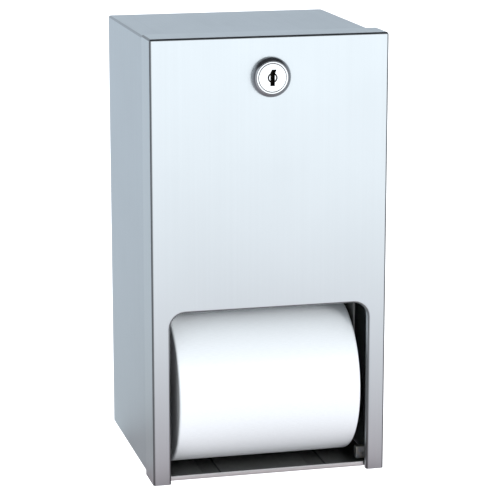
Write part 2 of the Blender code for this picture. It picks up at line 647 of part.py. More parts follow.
# Release bail: a strip folded into a U round the rolls, with a curved shelf under each end of
# the upper spindle. The shelf is an arc about the pivots, so lifting the bar slides it away.
def release_bail():
    rear = PIVOT_Y + BAIL_STRAP
    path = [(-ARM_OUTER, rear), (-ARM_OUTER, BAR_Y), (ARM_OUTER, BAR_Y), (ARM_OUTER, rear)]
    section = folded_section(path[::-1], BAIL_SHEET, BAIL_SHEET, FOLD_STEPS)
    half = BAIL_STRAP / 2
    lean = (SHELF_FRONT_ANGLE + SHELF_REAR_ANGLE) / 2
    head_reach = SHELF_RADIUS - half
    head = (PIVOT_Y - head_reach * math.sin(lean), PIVOT_Z + head_reach * math.cos(lean))
    pivot = (PIVOT_Y, PIVOT_Z)
    way = (Vector((BAR_Y, BAR_Z)) - Vector(pivot)).normalized()
    tip = tuple(Vector((BAR_Y, BAR_Z)) + way * BAIL_STRAP)
    bm = prism(bmesh.new(), section, "Z", BAR_Z - BAIL_STRAP, PIVOT_Z + SHELF_RADIUS)
    bail = add_part("release_bail", bm, "zinc", place=(0, PIVOT_Y, PIVOT_Z))

    reach = CABINET_HALF
    lower_strap = strap_outline(pivot, tip, half, CORNER_STEPS)
    blank = add_cutter("blank_bail", prism(bmesh.new(), lower_strap, "X", -reach, reach))
    upper_strap = strap_outline(pivot, head, half, CORNER_STEPS)
    upper = add_cutter("blank_bail_arms", prism(bmesh.new(), upper_strap, "X", -reach - CUT_OVERRUN, reach))
    combine(blank, upper, "UNION")
    combine(bail, blank, "INTERSECT")

    upright = math.pi / 2
    outer = arc(pivot, SHELF_RADIUS, upright + SHELF_REAR_ANGLE, upright + SHELF_FRONT_ANGLE, CORNER_STEPS)
    inner = arc(pivot, SHELF_RADIUS - BAIL_SHEET, upright + SHELF_REAR_ANGLE,
                upright + SHELF_FRONT_ANGLE, CORNER_STEPS)
    shelves = bmesh.new()
    for side in (-1, 1):
        prism(shelves, outer + inner[::-1], "X", side * (ARM_INNER - SHELF_WIDTH),
              side * (ARM_INNER + BAIL_SHEET / 2))
    combine(bail, add_cutter("shape_bail_shelves", shelves), "UNION")

    holes = bmesh.new()
    ring = arc(pivot, STUD_DIAMETER / 2 + SEAT_GAP, 0, 2 * math.pi, SMALL_STEPS)[:-1]
    for side in (-1, 1):
        prism(holes, ring, "X", side * (ARM_INNER - CUT_OVERRUN), side * (ARM_OUTER + CUT_OVERRUN))
    combine(bail, add_cutter("cut_bail_pivot_holes", holes))


# Spindle: a moulding with a bearing land near each end, a shaft with six ribs between them,
# journals and end buttons
def spindle(name, depth, height):
    shoulder = ROLL_WIDTH / 2 - SPINDLE_SHOULDER_SETBACK
    land_end = shoulder - SPINDLE_LAND
    button = SPINDLE_END - BUTTON_LENGTH
    half = [
        (land_end - SPINDLE_TAPER, SPINDLE_SHAFT_DIAMETER / 2), (land_end, SPINDLE_RADIUS),
        (shoulder - SPINDLE_CHAMFER, SPINDLE_RADIUS), (shoulder, SPINDLE_RADIUS - SPINDLE_CHAMFER),
        (shoulder, JOURNAL_DIAMETER / 2), (button, JOURNAL_DIAMETER / 2),
        (button, BUTTON_DIAMETER / 2), (SPINDLE_END - BUTTON_CHAMFER, BUTTON_DIAMETER / 2),
        (SPINDLE_END, BUTTON_DIAMETER / 2 - BUTTON_CHAMFER),
    ]
    stations = [(-along, radius) for along, radius in reversed(half)] + half
    bm = turned(bmesh.new(), pin_profile(stations), "X", (0, depth, height), ROUND_STEPS)
    bar = add_part(name, bm, "moulded_plastic", place=(0, depth, height), smooth=True)

    reach = SPINDLE_RADIUS - SPINDLE_RIB_DEPTH
    half_rib = SPINDLE_RIB_THICKNESS / 2
    end = land_end - SPINDLE_TAPER / 2
    for turn in range(RIB_PAIRS):
        lean = math.pi * turn / RIB_PAIRS
        way = Vector((math.cos(lean), math.sin(lean)))
        wall = Vector((-way.y, way.x))
        middle = Vector((depth, height))
        outline = [middle + way * a * reach + wall * b * half_rib for a, b in SQUARE]
        rib = prism(bmesh.new(), outline, "X", -end, end)
        combine(bar, add_cutter(f"shape_{name}_rib_{turn}", rib), "UNION")


# Roll: a wound paper tube on a cardboard core, hanging on the spindle inside it
def roll(name, depth, height):
    place = (0, depth, height)
    half = ROLL_WIDTH / 2
    core = [(-half, CORE_INNER), (half, CORE_INNER), (half, CORE_OUTER), (-half, CORE_OUTER)]
    bm = turned(bmesh.new(), core, "X", place, FINE_STEPS)
    add_part(name + "_core", bm, "cardboard", place=place, smooth=True)
    bore = CORE_OUTER + SEAT_GAP
    edge = ROLL_EDGE_ROUND
    paper = [(-half, bore), (half, bore)]
    paper += arc((half - edge, ROLL_RADIUS - edge), edge, 0, math.pi / 2, 2)
    paper += arc((edge - half, ROLL_RADIUS - edge), edge, math.pi / 2, math.pi, 2)
    bm = turned(bmesh.new(), paper, "X", place, FINE_STEPS)
    add_part(name + "_paper_roll", bm, "paper", place=place, smooth=True)


# Keeper: angle under the cabinet top that the raised cam catches behind
def lock_keeper():
    low = LOCK_Z + CAM_LENGTH - KEEPER_OVERLAP
    path = [(KEEPER_REAR - KEEPER_FOOT, KEEPER_TOP), (KEEPER_REAR, KEEPER_TOP), (KEEPER_REAR, low)]
    section = folded_section(path, BRACKET_SHEET, FOLD_RADIUS - BRACKET_SHEET / 2, FOLD_STEPS)
    bm = prism(bmesh.new(), section, "X", -KEEPER_WIDTH / 2, KEEPER_WIDTH / 2)
    add_part("lock_keeper", bm, "inner_steel")


# Lock case: head and barrel with a stepped bore for the plug, held by a bezel, washer and nut
def lock_case():
    axis = (0, 0, LOCK_Z)
    head = LOCK_HEAD_DIAMETER / 2
    barrel = LOCK_BARREL_DIAMETER / 2
    shelf = LOCK_FACE + LOCK_HEAD_HEIGHT
    face_bore = PLUG_FACE_DIAMETER / 2 + SEAT_GAP
    bore = PLUG_DIAMETER / 2 + SEAT_GAP
    face_depth = LOCK_FACE + PLUG_FACE_DEPTH + SEAT_GAP
    body = [
        (LOCK_FACE, face_bore), (LOCK_FACE, head), (shelf, head), (shelf, barrel),
        (LOCK_REAR, barrel), (LOCK_REAR, bore), (face_depth, bore), (face_depth, face_bore),
    ]
    bm = turned(bmesh.new(), body, "Y", axis, ROUND_STEPS)
    add_part("lock_body", bm, "chrome", place=(0, FRONT, LOCK_Z), smooth=True)

    base = FRONT - SEAT_GAP
    outer = BEZEL_DIAMETER / 2
    ledge = shelf + SEAT_GAP
    rim_inner = head + SEAT_GAP
    rim_outer = rim_inner + BEZEL_RIM
    bezel = [
        (base, barrel + SEAT_GAP), (ledge, barrel + SEAT_GAP), (ledge, rim_inner),
        (LOCK_FACE, rim_inner), (LOCK_FACE, rim_outer - BEZEL_RIM / 2),
        (LOCK_FACE + BEZEL_RIM / 2, rim_outer), (base - BEZEL_RIM, outer), (base, outer),
    ]
    bm = turned(bmesh.new(), bezel, "Y", axis, ROUND_STEPS)
    add_part("lock_bezel", bm, "chrome", place=(0, FRONT, LOCK_Z), smooth=True)

    washer_front = FRONT + DOOR_SHEET + SEAT_GAP
    washer_rear = washer_front + WASHER_THICKNESS
    ring = barrel + SEAT_GAP
    rim = WASHER_DIAMETER / 2
    washer = [(washer_front, ring), (washer_front, rim), (washer_rear, rim), (washer_rear, ring)]
    bm = turned(bmesh.new(), washer, "Y", axis, ROUND_STEPS)
    add_part("lock_washer", bm, "zinc", place=(0, washer_front, LOCK_Z), smooth=True)

    nut_front = washer_rear + SEAT_GAP
    nut_rear = nut_front + NUT_THICKNESS
    across_corners = NUT_FLATS / 2 / math.cos(math.pi / 6)
    hexagon = arc((0, LOCK_Z), across_corners, math.pi / 6, math.pi / 6 + 2 * math.pi, 6)[:-1]
    nut = add_part("lock_nut", prism(bmesh.new(), hexagon, "Y", nut_front, nut_rear), "zinc")
    bore_cut = arc((0, LOCK_Z), barrel + SEAT_GAP, 0, 2 * math.pi, ROUND_STEPS)[:-1]
    cutter = prism(bmesh.new(), bore_cut, "Y", nut_front - CUT_OVERRUN, nut_rear + CUT_OVERRUN)
    combine(nut, add_cutter("cut_nut_bore", cutter))
    flats = NUT_FLATS / 2
    clear = across_corners + NUT_CHAMFER
    rounding = [(nut_front, 0), (nut_front, flats), (nut_front + NUT_CHAMFER, clear),
                (nut_rear - NUT_CHAMFER, clear), (nut_rear, flats), (nut_rear, 0)]
    blank = turned(bmesh.new(), rounding, "Y", axis, ROUND_STEPS)
    combine(nut, add_cutter("blank_nut", blank), "INTERSECT")


# Lock plug: face disc, barrel and square tail, with a kinked keyway inside a ring groove
def lock_plug():
    axis = (0, 0, 0)
    face = PLUG_FACE_DIAMETER / 2
    barrel = PLUG_DIAMETER / 2
    nose = LOCK_FACE - FRONT
    rear = CAM_FRONT - SEAT_GAP - FRONT
    tip = CAM_REAR - FRONT
    step = nose + PLUG_FACE_DEPTH
    body = [(nose, 0), (nose, face), (step, face), (step, barrel), (rear, barrel), (rear, 0)]
    plug = add_part("lock_plug", turned(bmesh.new(), body, "Y", axis, ROUND_STEPS), "chrome", smooth=True)

    half_tail = PLUG_TAIL_WIDTH / 2
    square = [(a * half_tail, b * half_tail) for a, b in SQUARE]
    tail = add_cutter("shape_plug_tail", prism(bmesh.new(), square, "Y", rear - CUT_OVERRUN, tip))
    combine(plug, tail, "UNION")

    half = KEYHOLE_WIDTH / 2
    high = KEYHOLE_HEIGHT / 2
    ring_outer = KEY_RING_DIAMETER / 2
    ring_inner = ring_outer - KEY_RING_GROOVE
    mouth = nose - CUT_OVERRUN
    keyway = [
        (-half, -high), (half, -high), (half, ring_outer - KEYHOLE_KINK), (half + KEYHOLE_KINK, high),
        (KEYHOLE_KINK - half, high), (-half, ring_outer),
    ]
    slot = add_cutter("cut_keyway", prism(bmesh.new(), keyway, "Y", mouth, nose + KEYHOLE_DEPTH))
    combine(plug, slot)
    groove_end = nose + KEY_RING_DEPTH
    groove = [(mouth, ring_inner), (groove_end, ring_inner), (groove_end, ring_outer), (mouth, ring_outer)]
    ring = add_cutter("cut_key_ring", turned(bmesh.new(), groove, "Y", axis, ROUND_STEPS))
    combine(plug, ring)

    screw_bore = CAM_SCREW_DIAMETER / 2 + SEAT_GAP
    stations = [(tip - CAM_SCREW_LENGTH, screw_bore), (tip + CUT_OVERRUN, screw_bore)]
    bore = turned(bmesh.new(), pin_profile(stations), "Y", axis, SMALL_STEPS)
    hole = add_cutter("cut_plug_screw_bore", bore)
    combine(plug, hole)
    for item in (plug, tail, slot, ring, hole):
        item.location = (0, FRONT, LOCK_Z)


# Cam and its screw: the cam lies to the right when unlocked and turns up behind the keeper
def lock_cam():
    hub = CAM_HUB_DIAMETER / 2
    half = CAM_WIDTH / 2
    meet = math.asin(half / hub)
    outline = arc((0, LOCK_Z), hub, meet, 2 * math.pi - meet, ROUND_STEPS - CORNER_STEPS)
    outline += arc((CAM_LENGTH - half / 2, LOCK_Z - half / 2), half / 2, -math.pi / 2, 0, CORNER_STEPS)
    outline += arc((CAM_LENGTH - half / 2, LOCK_Z + half / 2), half / 2, 0, math.pi / 2, CORNER_STEPS)
    place = (0, CAM_FRONT, LOCK_Z)
    cam = add_part("lock_cam", prism(bmesh.new(), outline, "Y", CAM_FRONT, CAM_REAR), "zinc", place=place)
    inner = PLUG_TAIL_WIDTH / 2 + SEAT_GAP
    square = [(a * inner, LOCK_Z + b * inner) for a, b in SQUARE]
    hole = prism(bmesh.new(), square, "Y", CAM_FRONT - CUT_OVERRUN, CAM_REAR + CUT_OVERRUN)
    combine(cam, add_cutter("cut_cam_square", hole))

    seat = CAM_REAR + SEAT_GAP
    head_end = seat + CAM_SCREW_HEAD_HEIGHT
    rim = CAM_SCREW_HEAD_DIAMETER / 2
    shank = CAM_SCREW_DIAMETER / 2
    stations = [
        (seat - CAM_SCREW_LENGTH, shank), (seat, shank), (seat, rim),
        (head_end - CAM_SCREW_CHAMFER, rim), (head_end, rim - CAM_SCREW_CHAMFER),
    ]
    bm = turned(bmesh.new(), pin_profile(stations), "Y", (0, 0, LOCK_Z), SMALL_STEPS)
    add_part("cam_screw", bm, "zinc", place=(0, seat, LOCK_Z), smooth=True)


def build():
    clear_scene()
    cabinet_shell()
    floor_plate()
    door_panel()
    for side, name in ((-1, "left"), (1, "right")):
        hinge(side, name)
        guide_bracket(side, name)
        bail_studs(side, name)
    release_bail()
    spindle("lower_spindle", LOWER_ROLL_Y, LOWER_SPINDLE_Z)
    spindle("upper_spindle", UPPER_ROLL_Y, UPPER_SPINDLE_Z)
    roll("lower", LOWER_ROLL_Y, LOWER_ROLL_Z)
    roll("upper", UPPER_ROLL_Y, UPPER_ROLL_Z)
    lock_keeper()
    lock_case()
    lock_plug()
    lock_cam()
    print(f"dispenser {WIDTH:.4f} wide, {HEIGHT:.4f} high, {DEPTH:.4f} deep")


build()
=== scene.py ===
import math

import bmesh
import bpy
import numpy as np
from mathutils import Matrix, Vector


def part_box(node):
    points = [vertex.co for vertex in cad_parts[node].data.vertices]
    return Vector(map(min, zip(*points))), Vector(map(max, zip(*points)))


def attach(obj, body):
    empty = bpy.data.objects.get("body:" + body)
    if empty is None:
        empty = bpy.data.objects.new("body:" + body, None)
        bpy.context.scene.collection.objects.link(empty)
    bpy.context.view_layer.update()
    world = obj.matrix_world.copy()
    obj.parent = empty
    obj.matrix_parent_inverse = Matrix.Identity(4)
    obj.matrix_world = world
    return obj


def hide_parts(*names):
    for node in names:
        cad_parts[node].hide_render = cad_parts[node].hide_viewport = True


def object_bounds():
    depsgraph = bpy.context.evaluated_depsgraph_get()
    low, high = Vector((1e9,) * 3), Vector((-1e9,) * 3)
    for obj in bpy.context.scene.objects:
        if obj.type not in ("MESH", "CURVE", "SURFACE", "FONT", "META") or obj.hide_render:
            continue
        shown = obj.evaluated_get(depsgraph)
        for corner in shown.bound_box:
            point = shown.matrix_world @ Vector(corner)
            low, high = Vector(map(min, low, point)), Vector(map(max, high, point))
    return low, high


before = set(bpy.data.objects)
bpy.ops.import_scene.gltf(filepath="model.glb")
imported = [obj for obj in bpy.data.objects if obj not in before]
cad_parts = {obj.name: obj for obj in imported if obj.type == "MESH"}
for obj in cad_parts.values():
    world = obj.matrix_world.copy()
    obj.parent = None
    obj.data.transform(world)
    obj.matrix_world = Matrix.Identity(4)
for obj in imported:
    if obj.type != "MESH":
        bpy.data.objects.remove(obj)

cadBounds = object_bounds()
scene = bpy.context.scene
scene.view_settings.view_transform = "Standard"


photoView = {
    "lens": 158.0,                            # mm, on a sensor 36 mm wide
    "sensor": 36.0,
    "place": (-0.3325, -1.4236, 0.3091),
    "turnRight": 14.03,                       # degrees
    "lookDown": 12.87,
    "farthest": 40.0,                         # m
}

cameraData = bpy.data.cameras.new("photoView")
cameraData.lens = photoView["lens"]
cameraData.sensor_width = photoView["sensor"]
cameraData.clip_end = photoView["farthest"]
camera = bpy.data.objects.new("photoView", cameraData)
camera.location = photoView["place"]
camera.rotation_euler = (math.radians(90 - photoView["lookDown"]), 0, math.radians(-photoView["turnRight"]))
scene.collection.objects.link(camera)
scene.camera = camera


# Puts a grid of points into a mesh: rows run along the first axis, round the piece, and columns along the
# second. The last row joins the first, and so does the last column where closed. The map keeps counting
# over the join.
def gridMesh(name, points, windMap=None, closed=True):
    rows, columns = points.shape[:2]
    u, v = np.meshgrid(np.arange(rows), np.arange(columns if closed else columns - 1), indexing="ij")
    corners = [(u, v), (u + 1, v), (u + 1, v + 1), (u, v + 1)]
    index = np.stack([(a % rows) * columns + (b % columns) for a, b in corners], axis=-1).reshape(-1, 4)
    flat = points.reshape(-1, 3)
    quad = flat[index]
    volume = np.einsum("ij,ij->i", quad[:, 0], np.cross(quad[:, 1], quad[:, 2])).sum()
    volume += np.einsum("ij,ij->i", quad[:, 0], np.cross(quad[:, 2], quad[:, 3])).sum()
    turned = closed and volume < 0            # faces that look inwards are turned round
    if turned:
        index = index[:, ::-1]
    mesh = bpy.data.meshes.new(name)
    mesh.vertices.add(len(flat))
    mesh.vertices.foreach_set("co", flat.astype(np.float32).ravel())
    mesh.loops.add(index.size)
    mesh.loops.foreach_set("vertex_index", index.astype(np.int32).ravel())
    mesh.polygons.add(len(index))
    mesh.polygons.foreach_set("loop_start", np.arange(0, index.size, 4, dtype=np.int32))
    mesh.update(calc_edges=True)
    if windMap is not None:
        flatMap = np.stack([windMap[a, b] for a, b in corners], axis=2).reshape(-1, 4, 2)
        if turned:
            flatMap = flatMap[:, ::-1]
        layer = mesh.uv_layers.new(name="windMap")
        layer.uv.foreach_set("vector", flatMap.astype(np.float32).ravel())
    mesh.polygons.foreach_set("use_smooth", np.ones(len(index), dtype=bool))
    mesh.validate()
    return mesh


# Keeps one number for each point of a grid, for the finish to read
def keepNumber(mesh, name, values):
    attribute = mesh.attributes.new(name, "FLOAT", "POINT")
    attribute.data.foreach_set("value", values.astype(np.float32).ravel())


def smoothStep(value, low, high):
    share = np.clip((value - low) / (high - low), 0, 1)
    return share * share * (3 - 2 * share)


lightTent = {
    "radius": 6.0,                            # m
    "front": (1.43, 1.507, 1.55),             # brightness of the wall behind the camera
    "rear": (0.73, 0.82, 0.90),
    "sides": (0.33, 0.35, 0.38),
    "sideTurn": (0.20, 0.75),                 # cosine of the bearing where the sides give way
    "ceiling": (0.085, 0.088, 0.095),
    "ceilingHeight": (19.0, 46.0),            # degrees up, where the walls fade into the ceiling
    "tableFront": (0.475, 0.41, 0.435),       # the table close to the object, as the object sees it
    "tableRear": (0.64, 0.70, 0.74),
    "tableSides": (0.44, 0.45, 0.47),
    "tableFade": 0.52,                        # m over which the table takes on the walls' brightness
    "tableMiddle": -0.0725,                   # m, depth of the point that its bearings are counted from
    "underShade": (0.45, 0.030),              # how much darker it is right under the object, and how far
    "underReach": 0.08,                       # m from the middle to where the object's foot ends
    "drop": 0.26,                             # m from the table down to the floor, room for the open door
    "below": (0.36, 0.37, 0.40),              # the floor, as the open door sees it
    "clearance": 0.0002,                      # m between the object's foot and the table
    "around": 144,
    "heights": 46,
    "nearRings": (0.002, 0.6, 60),            # m from the first to the last of the table's close rings, and count
    "farRings": (0.62, 30),                   # from there to the wall
}


# Brightness by bearing: front where its cosine is high, rear where it is low, sides between. The front's
# share comes back too.
def glowAround(x, y, frontName, rearName, sideName):
    bearing = -y / np.maximum(np.hypot(x, y), 1e-6)
    front = smoothStep(bearing, *lightTent["sideTurn"])[..., None]
    rear = smoothStep(-bearing, *lightTent["sideTurn"])[..., None]
    frontGlow, rearGlow, sideGlow = (np.array(lightTent[key]) for key in (frontName, rearName, sideName))
    return front * frontGlow + rear * rearGlow + (1 - front - rear) * sideGlow, front


def glowMaterial(name):
    material = bpy.data.materials.new(name)
    material.use_nodes = True
    material.cycles.emission_sampling = "NONE"
    tree = material.node_tree
    tree.nodes.clear()
    glow = tree.nodes.new("ShaderNodeAttribute")
    glow.attribute_name = "glow"
    light = tree.nodes.new("ShaderNodeEmission")
    out = tree.nodes.new("ShaderNodeOutputMaterial")
    tree.links.new(glow.outputs["Color"], light.inputs["Color"])
    tree.links.new(light.outputs[0], out.inputs["Surface"])
    return material


# Hands a light panel over: the object sees it, the camera doesn't, and it casts no shadow
def hangPanel(name, points, colour, material):
    mesh = gridMesh(name, points, closed=False)
    glow = mesh.attributes.new("glow", "FLOAT_COLOR", "POINT")
    alpha = np.ones(colour.shape[:2] + (1,))
    glow.data.foreach_set("color", np.concatenate([colour, alpha], axis=-1).astype(np.float32).ravel())
    mesh.materials.append(material)
    panel = bpy.data.objects.new(name, mesh)
    panel.visible_camera = False
    panel.visible_shadow = False
    panel.visible_transmission = False
    scene.collection.objects.link(panel)


# The tent is a half sphere: its point is radius x (cos height x sin bearing, -cos height x cos bearing,
# sin height). The table is a disc of rings, and its brightness goes from its own to the walls' as
# 1 - e^(-distance / fade).
def hangTent():
    material = glowMaterial("tentGlow")
    radius, drop = lightTent["radius"], lightTent["drop"]
    level = cadBounds[0][2] - lightTent["clearance"]
    turn = np.linspace(0, 2 * np.pi, lightTent["around"] + 1)[:-1]
    steps = np.radians(np.linspace(0, 89.9, lightTent["heights"]))
    height = np.concatenate([[-math.asin(drop / radius)], steps])
    a, e = np.meshgrid(turn, height, indexing="ij")
    x, y, z = radius * np.cos(e) * np.sin(a), -radius * np.cos(e) * np.cos(a), level + radius * np.sin(e)
    wall, _ = glowAround(x, y, "front", "rear", "sides")
    up = smoothStep(np.degrees(e), *lightTent["ceilingHeight"])[..., None]
    wall = wall * (1 - up) + up * np.array(lightTent["ceiling"])
    hangPanel("tentWall", np.stack([x, y, z], axis=-1), wall, material)
    start, count = lightTent["farRings"]
    reach = np.concatenate([np.linspace(*lightTent["nearRings"]), np.geomspace(start, radius, count)])
    a, r = np.meshgrid(turn, reach, indexing="ij")
    x, y = r * np.sin(a), -r * np.cos(a)
    far, front = glowAround(x, y, "front", "rear", "sides")
    near, _ = glowAround(x, y, "tableFront", "tableRear", "tableSides")
    away = np.maximum(r - lightTent["underReach"], 0)[..., None]
    share = 1 - np.exp(-away / lightTent["tableFade"])
    depth, width = lightTent["underShade"]
    under = 1 - depth * np.exp(-(away / width) ** 2)
    table = (near * (1 - share) + far * share) * (front * under + 1 - front)
    y = y + lightTent["tableMiddle"]
    hangPanel("tentTable", np.stack([x, y, np.full_like(x, level)], axis=-1), table, material)
    below = np.broadcast_to(lightTent["below"], x.shape + (3,))
    hangPanel("tentFloor", np.stack([x, y, np.full_like(x, level - drop)], axis=-1), below, material)


hangTent()


lamps = {
    "overhead": 4.6,
    "overheadSpread": 40.0,                   # degrees
    "overheadHeight": 102.0,                  # past the zenith, so that none falls on the lower roll
    "front": 1.6,
    "frontSpread": 14.0,
    "frontHeight": 15.0,
    "frontRight": 24.0,
    "backdrop": (1.0, 1.0, 1.0),
    "floorColour": (0.86, 0.87, 0.88),
    "floorSize": 7.0,
}


# Sun-like soft light from a height and a bearing, counted to the right of straight ahead
def softLamp(name, strength, spread, height, right):
    data = bpy.data.lights.new(name, "SUN")
    data.energy = strength
    data.angle = math.radians(spread)
    lamp = bpy.data.objects.new(name, data)
    lamp.rotation_euler = (math.radians(90 - height), 0, math.radians(right))
    lamp.visible_glossy = False
    scene.collection.objects.link(lamp)


def paleFloor():
    half = lamps["floorSize"]
    level = cadBounds[0][2] - lightTent["drop"] - 2 * lightTent["clearance"]
    ring = np.linspace(0, 2 * np.pi, 97)[:-1]
    rim = np.stack([half * np.cos(ring), half * np.sin(ring), np.full(ring.size, level)], axis=1)
    mesh = bpy.data.meshes.new("paleFloor")
    mesh.from_pydata(rim.tolist(), [], [list(range(ring.size))])
    floor = bpy.data.objects.new("paleFloor", mesh)
    scene.collection.objects.link(floor)
    material = bpy.data.materials.new("paleSweep")
    material.use_nodes = True
    shader = material.node_tree.nodes["Principled BSDF"]
    shader.inputs["Base Color"].default_value = (*lamps["floorColour"], 1.0)
    shader.inputs["Roughness"].default_value = 0.9
    shader.inputs["Specular IOR Level"].default_value = 0.1
    mesh.materials.append(material)


softLamp("overheadLamp", lamps["overhead"], lamps["overheadSpread"], lamps["overheadHeight"], 0.0)
softLamp("frontLamp", lamps["front"], lamps["frontSpread"], lamps["frontHeight"], lamps["frontRight"])
paleFloor()
backdrop = bpy.data.worlds.new("backdrop")
backdrop.use_nodes = True
backdrop.node_tree.nodes["Background"].inputs["Color"].default_value = (*lamps["backdrop"], 1.0)
backdrop.cycles_visibility.diffuse = False
backdrop.cycles_visibility.glossy = False
scene.world = backdrop
print("view, light tent, lamps and floor are set")


def addNode(tree, kind, **settings):
    node = tree.nodes.new(kind)
    for key, value in settings.items():
        setattr(node, key, value)
    return node


def join(tree, source, target):
    tree.links.new(source, target)


def noise(tree, vector, scale, detail, rough=0.5):
    node = addNode(tree, "ShaderNodeTexNoise")
    node.inputs["Scale"].default_value = scale
    node.inputs["Detail"].default_value = detail
    node.inputs["Roughness"].default_value = rough
    join(tree, vector, node.inputs["Vector"])
    return node.outputs["Fac"]


def remap(tree, value, fromLow, fromHigh, toLow, toHigh):
    node = addNode(tree, "ShaderNodeMapRange")
    for socket, number in zip(("From Min", "From Max", "To Min", "To Max"), (fromLow, fromHigh, toLow, toHigh)):
        node.inputs[socket].default_value = number
    join(tree, value, node.inputs["Value"])
    return node.outputs["Result"]


def combine(tree, kind, first, second):
    node = addNode(tree, "ShaderNodeMath", operation=kind)
    for socket, value in zip(node.inputs, (first, second)):
        if isinstance(value, (int, float)):
            socket.default_value = value
        else:
            join(tree, value, socket)
    return node.outputs[0]


# One colour times a factor from a texture
def shaded(tree, colour, factor):
    node = addNode(tree, "ShaderNodeMix", data_type="RGBA", blend_type="MULTIPLY")
    node.inputs["Factor"].default_value = 1.0
    if hasattr(colour, "is_output"):
        join(tree, colour, node.inputs[6])
    else:
        node.inputs[6].default_value = (*colour, 1.0)
    join(tree, factor, node.inputs[7])
    return node.outputs[2]


def blendColours(tree, factor, first, second):
    node = addNode(tree, "ShaderNodeMix", data_type="RGBA")
    join(tree, factor, node.inputs["Factor"])
    for socket, colour in ((node.inputs[6], first), (node.inputs[7], second)):
        if hasattr(colour, "is_output"):
            join(tree, colour, socket)
        else:
            socket.default_value = (*colour, 1.0)
    return node.outputs[2]


def startMaterial(name):
    material = bpy.data.materials.new(name)
    material.use_nodes = True
    tree = material.node_tree
    return material, tree, tree.nodes["Principled BSDF"]


def giveRelief(tree, shader, height, strength, distance):
    bump = addNode(tree, "ShaderNodeBump")
    bump.inputs["Strength"].default_value = strength
    bump.inputs["Distance"].default_value = distance
    join(tree, height, bump.inputs["Height"])
    join(tree, bump.outputs[0], shader.inputs["Normal"])


# Where two faces meet: 1 on the edge and 0 on the flat, from the rounded normal
def edgeMask(tree):
    soft = addNode(tree, "ShaderNodeBevel", samples=4)
    soft.inputs["Radius"].default_value = 0.0004    # m
    plain = addNode(tree, "ShaderNodeNewGeometry")
    dot = addNode(tree, "ShaderNodeVectorMath", operation="DOT_PRODUCT")
    join(tree, soft.outputs[0], dot.inputs[0])
    join(tree, plain.outputs["Normal"], dot.inputs[1])
    return remap(tree, dot.outputs["Value"], 0.995, 0.85, 0.0, 1.0)


# Where folded sheet turns a corner: the largest part of the normal falls below 1 between the flat faces
def bendMask(tree):
    place = addNode(tree, "ShaderNodeTexCoord")
    size = addNode(tree, "ShaderNodeVectorMath", operation="ABSOLUTE")
    join(tree, place.outputs["Normal"], size.inputs[0])
    parts = addNode(tree, "ShaderNodeSeparateXYZ")
    join(tree, size.outputs[0], parts.inputs[0])
    level = combine(tree, "MAXIMUM", parts.outputs["X"], parts.outputs["Y"])
    return remap(tree, combine(tree, "MAXIMUM", level, parts.outputs["Z"]), 0.992, 0.93, 0.0, 1.0)


steelGrain = {
    "fine": 2600.0,                           # grain lines per metre across the brushing, in noise units
    "streak": 420.0,
    "along": 9.0,                             # noise units per metre along the brushing
    "broad": 14.0,
    "lip": (0.94, 0.94, 0.94),                # painted highlight on the front lip of the floor plate
    "lipHighlightMetal": 0.75,
    "stretch": 0.55,                          # how much wider the gloss spreads across the grain
    "across": (1.0, 0.25, 0.0),
    "relief": (0.22, 0.00006),                # bump strength, and depth in m
}


# Grain coordinates for folded sheet: lines run up the upright faces and front to back over the level ones
def grainPlace(tree, across, along):
    place = addNode(tree, "ShaderNodeTexCoord")
    parts = addNode(tree, "ShaderNodeSeparateXYZ")
    join(tree, place.outputs["Normal"], parts.inputs[0])
    size = addNode(tree, "ShaderNodeMath", operation="ABSOLUTE")
    join(tree, parts.outputs["Z"], size.inputs[0])
    level = combine(tree, "GREATER_THAN", size.outputs[0], 0.75)
    upright = addNode(tree, "ShaderNodeVectorMath", operation="MULTIPLY")
    upright.inputs[1].default_value = (across, across, along)
    join(tree, place.outputs["Object"], upright.inputs[0])
    flat = addNode(tree, "ShaderNodeVectorMath", operation="MULTIPLY")
    flat.inputs[1].default_value = (across, along, across)
    join(tree, place.outputs["Object"], flat.inputs[0])
    mix = addNode(tree, "ShaderNodeMix", data_type="VECTOR")
    join(tree, level, mix.inputs["Factor"])
    join(tree, upright.outputs[0], mix.inputs[4])
    join(tree, flat.outputs[0], mix.inputs[5])
    return mix.outputs[1]
